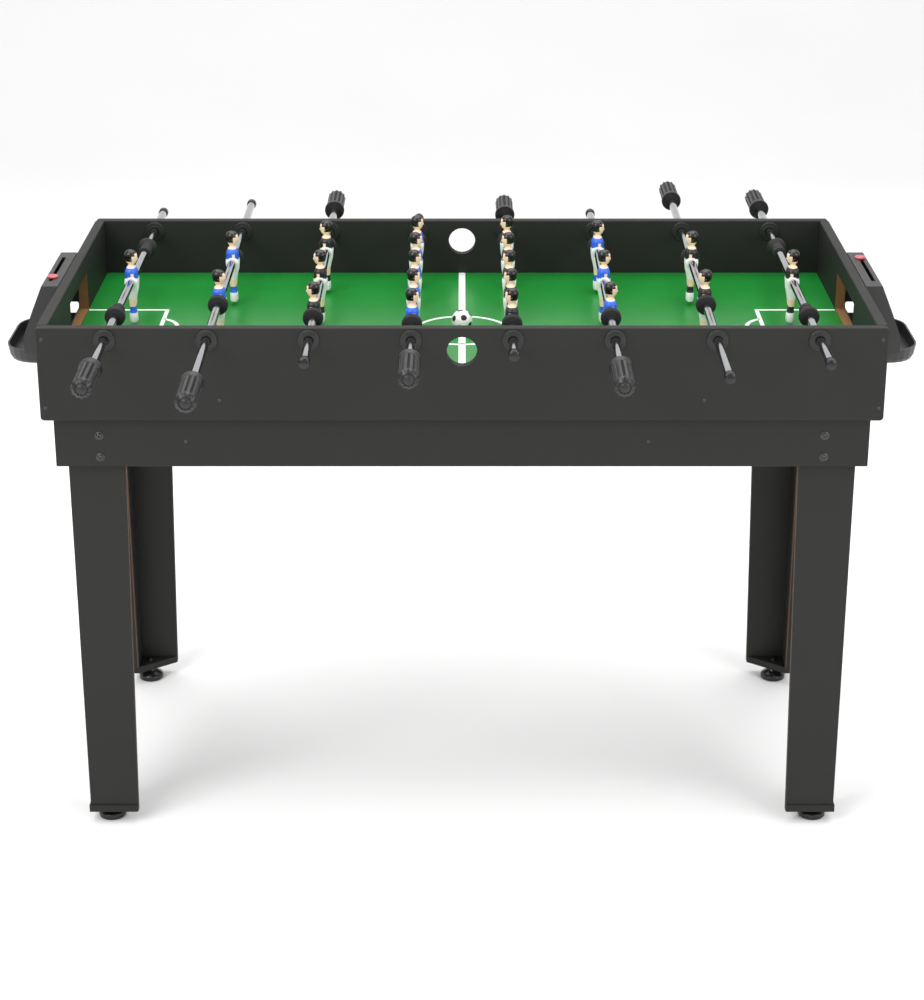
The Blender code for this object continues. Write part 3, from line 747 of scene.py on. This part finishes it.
def make_leg_edges():
    """Two bare lines down each cut edge of the legs, where the paper stops short of the edging."""
    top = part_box("apron_front")[0].z - 0.5 * MM
    bm = bmesh.new()
    for corner in CORNERS:
        low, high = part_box("leg_" + corner)
        side = Vector((-1 if "left" in corner else 1, -1 if "front" in corner else 1))
        outer = Vector((side.x * (max(abs(low.x), abs(high.x)) - SHOE_LIP),
                        side.y * (max(abs(low.y), abs(high.y)) - SHOE_LIP)))
        width_top, return_top = high.x - low.x - SHOE_LIP, high.y - low.y - SHOE_LIP
        for along_x in (True, False):
            foot, head = (LEG_WIDTH_FOOT, width_top) if along_x else (LEG_RETURN_FOOT, return_top)
            for start, end in ((0.9 * MM, 2.6 * MM), (LEG_BOARD - 2.6 * MM, LEG_BOARD - 0.9 * MM)):
                corners = []
                for z, reach in ((SHOE_TOP, foot), (top, head)):
                    for across in (start, end):
                        for proud in (-0.5 * MM, 0.25 * MM):
                            away, over = reach + proud, across
                            x, y = (away, over) if along_x else (over, away)
                            corners.append(bm.verts.new((outer.x - side.x * x, outer.y - side.y * y, z)))
                for face in PRISM_FACES:
                    bm.faces.new([corners[i] for i in face])
    piece = mesh_object("bare_leg_edges", bm, [FINISH["leg_edge"]])
    finish_piece(piece, "table", "leg_board")


# Fasteners by Geometry Nodes

def instance_tree(name, material):
    """Put a copy of an object on every point of the points mesh, turned to the point's normal."""
    tree = bpy.data.node_groups.new(name, "GeometryNodeTree")
    interface = tree.interface
    interface.new_socket("Geometry", in_out="INPUT", socket_type="NodeSocketGeometry")
    interface.new_socket("Fastener", in_out="INPUT", socket_type="NodeSocketObject")
    interface.new_socket("Size", in_out="INPUT", socket_type="NodeSocketFloat")
    interface.new_socket("Geometry", in_out="OUTPUT", socket_type="NodeSocketGeometry")
    entry = add_node(tree, "NodeGroupInput")
    info = add_node(tree, "GeometryNodeObjectInfo", None, {"Object": entry.outputs["Fastener"]})
    direction = add_node(tree, "GeometryNodeInputNamedAttribute", {"data_type": "FLOAT_VECTOR"},
                         {"Name": "facing"})
    align = add_node(tree, "FunctionNodeAlignRotationToVector", {"axis": "Z"},
                     {"Vector": direction.outputs["Attribute"]})
    copies = add_node(tree, "GeometryNodeInstanceOnPoints", None, {
        "Points": entry.outputs["Geometry"], "Instance": info.outputs["Geometry"],
        "Rotation": align.outputs["Rotation"], "Scale": entry.outputs["Size"]})
    real = add_node(tree, "GeometryNodeRealizeInstances", None, {"Geometry": copies.outputs["Instances"]})
    painted = add_node(tree, "GeometryNodeSetMaterial", None, {"Geometry": real.outputs["Geometry"]})
    painted.inputs["Material"].default_value = material
    add_node(tree, "NodeGroupOutput", None, {"Geometry": painted.outputs["Geometry"]})
    return tree


def scatter(name, fastener, places, size, material, body, slot):
    """Bake copies of a fastener at (place, direction) pairs into one mesh."""
    mesh = bpy.data.meshes.new(name + "_points")
    mesh.from_pydata([tuple(place) for place, _ in places], [], [])
    facing = mesh.attributes.new("facing", "FLOAT_VECTOR", "POINT")
    for i, (_, direction) in enumerate(places):
        facing.data[i].vector = direction
    holder = bpy.data.objects.new(name + "_points", mesh)
    bpy.context.scene.collection.objects.link(holder)
    tree = instance_tree(name + "_tree", material)
    modifier = holder.modifiers.new("Copies", "NODES")
    modifier.node_group = tree
    sockets = {item.name: item.identifier for item in tree.interface.items_tree if item.in_out == "INPUT"}
    modifier[sockets["Fastener"]] = fastener
    modifier[sockets["Size"]] = size
    holder.update_tag()
    bpy.context.view_layer.update()
    evaluated = holder.evaluated_get(bpy.context.evaluated_depsgraph_get())
    baked = bpy.data.meshes.new_from_object(evaluated)
    baked.name = name
    piece = bpy.data.objects.new(name, baked)
    bpy.context.scene.collection.objects.link(piece)
    bpy.data.objects.remove(holder)
    if not baked.polygons:
        raise RuntimeError(name + " has no faces")
    finish_piece(piece, body, slot)
    return piece


def fastener_mesh(name, radius, height, recess, washer=0.0):
    """A pan head with a round recess sunk in its top, on a washer if it has one, along +Z from 0."""
    bm = bmesh.new()
    if washer:
        rim = [(0, 0), (0, washer), (0.8 * MM, washer), (1.0 * MM, washer - 0.3 * MM), (1.0 * MM, 0)]
        add_turned(bm, rim, 28, (0, 0, 0), (0, 0, 1))
    base = 1.0 * MM if washer else 0.0
    steps = 5
    profile = [(base, 0), (base, radius)]
    for i in range(1, steps + 1):
        angle = math.pi / 2 * i / steps
        profile.append((base + height * math.sin(angle), max(radius * math.cos(angle), 0.35 * radius)))
    profile.append((base + height, 0.30 * radius))
    profile.append((base + height - recess, 0.18 * radius))
    profile.append((base + height - recess, 0))
    add_turned(bm, profile, 20, (0, 0, 0), (0, 0, 1))
    obj = mesh_object(name, bm, [FINISH["zinc"]], 40)
    obj.hide_render = True
    return obj


def make_fasteners():
    """Leg bolts on the aprons, and the screws of the box and the apron frame."""
    bolt = fastener_mesh("bolt_pattern", 4.2 * MM, 2.6 * MM, 1.4 * MM, 6.5 * MM)
    screw = fastener_mesh("screw_pattern", 2.8 * MM, 1.0 * MM, 0.8 * MM)
    bolts, screws = [], []
    bolt_x, bolt_drops = 525 * MM, (167 * MM, 200 * MM)
    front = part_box("side_board_front")
    for side in (-1, 1):
        face = side * abs(FRONT_FACE)
        for x in (-bolt_x, bolt_x):
            bolts += [((x, face, RIM - drop), (0, side, 0)) for drop in bolt_drops]
        board = side * abs(front[0].y + BUSHING_FLANGE)
        for x in (-347 * MM, 347 * MM):
            screws.append(((x, board, RIM - 108 * MM), (0, side, 0)))
        for x in (-BOARD_HALF + 8 * MM, BOARD_HALF - 8 * MM):
            screws += [((x, board, RIM - drop), (0, side, 0)) for drop in (17.5 * MM, 120 * MM)]
        screws += [((x, face, RIM - 176 * MM), (0, side, 0)) for x in (-400 * MM, 270 * MM)]
    scatter("leg_bolts", bolt, bolts, 1.0, FINISH["zinc"], "table", "apron_board")
    scatter("board_screws", screw, screws, 1.0, FINISH["zinc"], "table", "box_board")
    for pattern in (bolt, screw):
        bpy.data.objects.remove(pattern)


def make_bushings():
    """Turned nylon collar round each rod, on both faces of both side boards."""
    bm = bmesh.new()
    inner, outer, proud = TUBE_RADIUS + 0.5 * MM, 15.7 * MM, 0.4 * MM
    profile = [
        (-1 * MM, inner), (-1 * MM, outer), (1.6 * MM, outer), (2.4 * MM + proud, outer - 1.4 * MM),
        (2.4 * MM + proud, 12.4 * MM), (2.4 * MM + 0.15 * MM, 11.4 * MM), (2.4 * MM + 0.15 * MM, 9.6 * MM),
        (2.4 * MM + proud, 8.9 * MM), (2.4 * MM + proud, 7.9 * MM), (1.5 * MM, 7.4 * MM), (1.5 * MM, inner),
        (-1 * MM, inner),
    ]
    sides = 32
    low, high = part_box("side_board_front")
    faces = [low.y + BUSHING_FLANGE, high.y - BUSHING_FLANGE]
    places = [(faces[0], -1), (faces[1], 1), (-faces[0], 1), (-faces[1], -1)]
    for row in ROWS:
        centre, _ = row_axis(row)
        for y, direction in places:
            add_ring(bm, profile, sides, (centre.x, y, centre.z), direction)
    piece = mesh_object("rod_bushings", bm, [FINISH["bushing"]])
    finish_piece(piece, "table", "box_board")


def add_ring(bm, profile, sides, centre, direction):
    """A ring turned round Y from a closed (along, radius) loop."""
    loops = []
    for i in range(sides):
        angle = math.tau * i / sides
        loops.append([bm.verts.new((centre[0] + r * math.cos(angle), centre[1] + direction * along,
                                    centre[2] + r * math.sin(angle))) for along, r in profile[:-1]])
    count = len(profile) - 1
    for i in range(sides):
        first, second = loops[i], loops[(i + 1) % sides]
        for k in range(count):
            m = (k + 1) % count
            bm.faces.new((first[k], first[m], second[m], second[k]))


# Feet and markers

PAD_TOP = 21 * MM

def make_foot(corner):
    """Levelling foot: domed pad with a knurled skirt, and its threaded stud."""
    node = "foot_" + corner
    low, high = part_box(node)
    centre = ((low.x + high.x) / 2, (low.y + high.y) / 2, 0)

    def knurl(angle, along, radius):
        """Fine ridges round the skirt for fingers."""
        if 2.5 * MM < along < 8.5 * MM and radius > 20 * MM:
            return radius - 0.45 * MM * (math.cos(angle * 24) > 0)
        return radius

    bm = bmesh.new()
    profile = [
        (0, 0), (0, 17.5 * MM), (0.8 * MM, 19.2 * MM), (2.2 * MM, 20.6 * MM), (3 * MM, 21 * MM),
        (5.5 * MM, 21 * MM), (8 * MM, 21 * MM), (9.6 * MM, 20 * MM), (12.5 * MM, 16 * MM),
        (15 * MM, 12.4 * MM), (18 * MM, 9.8 * MM), (PAD_TOP, 9 * MM), (PAD_TOP, 0),
    ]
    add_turned(bm, profile, 96, centre, (0, 0, 1), turn=knurl)
    pad = mesh_object(node + "_pad", bm, [FINISH["foot"]])
    finish_piece(pad, node, "foot_plastic", node)

    bm = bmesh.new()
    stud_top, pitch = high.z, 1.25 * MM
    profile = [(PAD_TOP - 2 * MM, 0)]
    turns = int((stud_top - PAD_TOP) / pitch)
    for i in range(turns):
        base = PAD_TOP + i * pitch
        profile += [(base, 3.9 * MM), (base + pitch / 2, 3.3 * MM)]
    profile += [(stud_top, 3.2 * MM), (stud_top, 0)]
    add_turned(bm, profile, 20, centre, (0, 0, 1))
    stud = mesh_object(node + "_stud", bm, [FINISH["zinc"]])
    finish_piece(stud, node, "foot_plastic")


def make_marker(word):
    """Score marker: a domed red button on its stem, with a ring pressed in its top."""
    node = "score_marker_" + word
    low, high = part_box(node)
    centre = ((low.x + high.x) / 2, (low.y + high.y) / 2, 0)
    top = high.z
    bm = bmesh.new()
    profile = [
        (low.z, 0), (low.z, 4.4 * MM), (low.z + 1.8 * MM, 4.4 * MM), (low.z + 2.0 * MM, 2.6 * MM),
        (top - 3.5 * MM, 2.6 * MM), (top - 3.5 * MM, 7.9 * MM), (top - 3 * MM, 8.5 * MM),
        (top - 1.6 * MM, 8.5 * MM), (top - 0.7 * MM, 7.8 * MM), (top - 0.2 * MM, 6.2 * MM),
        (top, 5 * MM), (top - 0.4 * MM, 4.2 * MM), (top - 0.4 * MM, 0),
    ]
    add_turned(bm, profile, 48, centre, (0, 0, 1))
    piece = mesh_object(node + "_button", bm, [FINISH["marker"]])
    finish_piece(piece, node, "marker_plastic", node)


# Stage

def make_camera():
    """Camera in front of the table and above it, tilted down at it with no shift."""
    data = bpy.data.cameras.new("camera")
    focal_pixels, image_height = 2350.0, 1000
    data.sensor_fit = "VERTICAL"
    data.sensor_height = 36.0
    data.lens = focal_pixels * data.sensor_height / image_height
    camera = bpy.data.objects.new("camera", data)
    bpy.context.scene.collection.objects.link(camera)
    pitch = math.radians(21.5)
    camera.location = (0, -3.486, RIM + 0.992)
    camera.rotation_euler = (math.pi / 2 - pitch, 0, 0)
    bpy.context.scene.camera = camera


def make_light(name, place, target, size, power):
    """Square soft light aimed at a point."""
    data = bpy.data.lights.new(name, "AREA")
    data.shape = "SQUARE"
    data.size = size
    data.energy = power
    light = bpy.data.objects.new(name, data)
    bpy.context.scene.collection.objects.link(light)
    light.location = place
    aim = Vector(target) - Vector(place)
    light.rotation_euler = aim.to_track_quat("-Z", "Y").to_euler()


def make_floor():
    """Plain pale floor with a soft rise behind the table."""
    bm = bmesh.new()
    half, back, rise, steps = 9.0, 7.0, 3.0, 16
    line = [(-9.0, 0.0), (back - rise, 0.0)]
    for i in range(1, steps + 1):
        angle = math.pi / 2 * i / steps
        line.append((back - rise + rise * math.sin(angle), rise - rise * math.cos(angle)))
    line.append((back, 9.0))
    pairs = [[bm.verts.new((x, y, z)) for x in (-half, half)] for y, z in line]
    for first, second in zip(pairs, pairs[1:]):
        bm.faces.new((first[0], first[1], second[1], second[0]))
    material = plain_paint("pale_floor_paint", "ffffff", 0.85, 0.8)
    floor = mesh_object("floor", bm, [material])


# Operators

class FOOSBALL_OT_boards(bpy.types.Operator):
    """Finish the boards, legs, ball returns and field, and add the bare edges and print"""

    bl_idname = "foosball.boards"
    bl_label = "Boards and Field"

    def execute(self, context):
        FINISH.update(make_materials())
        for name in BOX_BOARDS + APRONS + tuple("leg_" + corner for corner in CORNERS):
            paint_node(name, FINISH["board"])
        paint_node("playfield", FINISH["field"])
        for word in ("left", "right"):
            paint_node("ball_return_" + word, FINISH["tray"])
        make_bare_edges()
        make_leg_edges()
        make_field_print()
        return {"FINISHED"}


class FOOSBALL_OT_rods(bpy.types.Operator):
    """Make the tubes, bumpers, caps, bushings and grips"""

    bl_idname = "foosball.rods"
    bl_label = "Rods and Grips"

    def execute(self, context):
        for row in ROWS:
            make_rod(row)
            make_grip(row)
        make_bushings()
        return {"FINISHED"}


class FOOSBALL_OT_figures(bpy.types.Operator):
    """Make every painted figure in its row"""

    bl_idname = "foosball.figures"
    bl_label = "Figures"

    def execute(self, context):
        for row in ROWS:
            count = sum(name.startswith(row + "_figure_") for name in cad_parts)
            for number in range(1, count + 1):
                make_figure(row, number)
        return {"FINISHED"}


class FOOSBALL_OT_small_pieces(bpy.types.Operator):
    """Make the ball, score markers, levelling feet and fasteners"""

    bl_idname = "foosball.small_pieces"
    bl_label = "Ball, Markers, Feet and Fasteners"

    def execute(self, context):
        make_ball()
        for word in ("left", "right"):
            make_marker(word)
        for corner in CORNERS:
            make_foot(corner)
        make_fasteners()
        return {"FINISHED"}


class FOOSBALL_OT_stage(bpy.types.Operator):
    """Make the camera, floor and soft studio lights"""

    bl_idname = "foosball.stage"
    bl_label = "Stage"

    def execute(self, context):
        make_camera()
        make_floor()
        make_light("key", (-2.4, -3.0, 3.4), (0, 0, 0.6), 2.6, 105)
        make_light("fill", (2.8, -2.6, 2.2), (0, 0, 0.5), 2.4, 50)
        make_light("top", (0, 0.3, 3.4), (0, 0, 0.7), 3.0, 90)
        world = bpy.data.worlds.new("studio")
        world.use_nodes = True
        background = world.node_tree.nodes["Background"]
        background.inputs["Color"].default_value = (1, 1, 1, 1)
        background.inputs["Strength"].default_value = 0.75
        context.scene.world = world
        context.scene.view_settings.view_transform = "Standard"
        return {"FINISHED"}


OPERATORS = (
    FOOSBALL_OT_boards, FOOSBALL_OT_rods, FOOSBALL_OT_figures, FOOSBALL_OT_small_pieces,
    FOOSBALL_OT_stage,
)


class FOOSBALL_PT_panel(bpy.types.Panel):
    """Settings of the foosball table and the buttons that build it."""

    bl_idname = "FOOSBALL_PT_panel"
    bl_label = "Foosball Table"
    bl_space_type = "VIEW_3D"
    bl_region_type = "UI"
    bl_category = "Foosball"

    def draw(self, context):
        for group in GROUPS:
            box = self.layout.box()
            settings = getattr(context.scene, group)
            for name in settings.bl_rna.properties.keys():
                if name not in ("rna_type", "name"):
                    box.prop(settings, name)
        for operator in OPERATORS:
            self.layout.operator(operator.bl_idname)


GROUPS = {
    "foosball_board": BoardSettings, "foosball_field": FieldSettings,
    "foosball_figures": FigureSettings, "foosball_grips": GripSettings,
}


def register():
    """Register the classes and hang the settings on the scene."""
    for kind in (*GROUPS.values(), *OPERATORS, FOOSBALL_PT_panel):
        bpy.utils.register_class(kind)
    for name, kind in GROUPS.items():
        setattr(bpy.types.Scene, name, PointerProperty(type=kind))


def unregister():
    """Take the settings off the scene and remove the classes."""
    for name in GROUPS:
        delattr(bpy.types.Scene, name)
    for kind in reversed((*GROUPS.values(), *OPERATORS, FOOSBALL_PT_panel)):
        bpy.utils.unregister_class(kind)


def main():
    """Build everything in order."""
    register()
    bpy.ops.foosball.boards()
    bpy.ops.foosball.rods()
    bpy.ops.foosball.figures()
    bpy.ops.foosball.small_pieces()
    bpy.ops.foosball.stage()


if __name__ == "__main__":
    main()
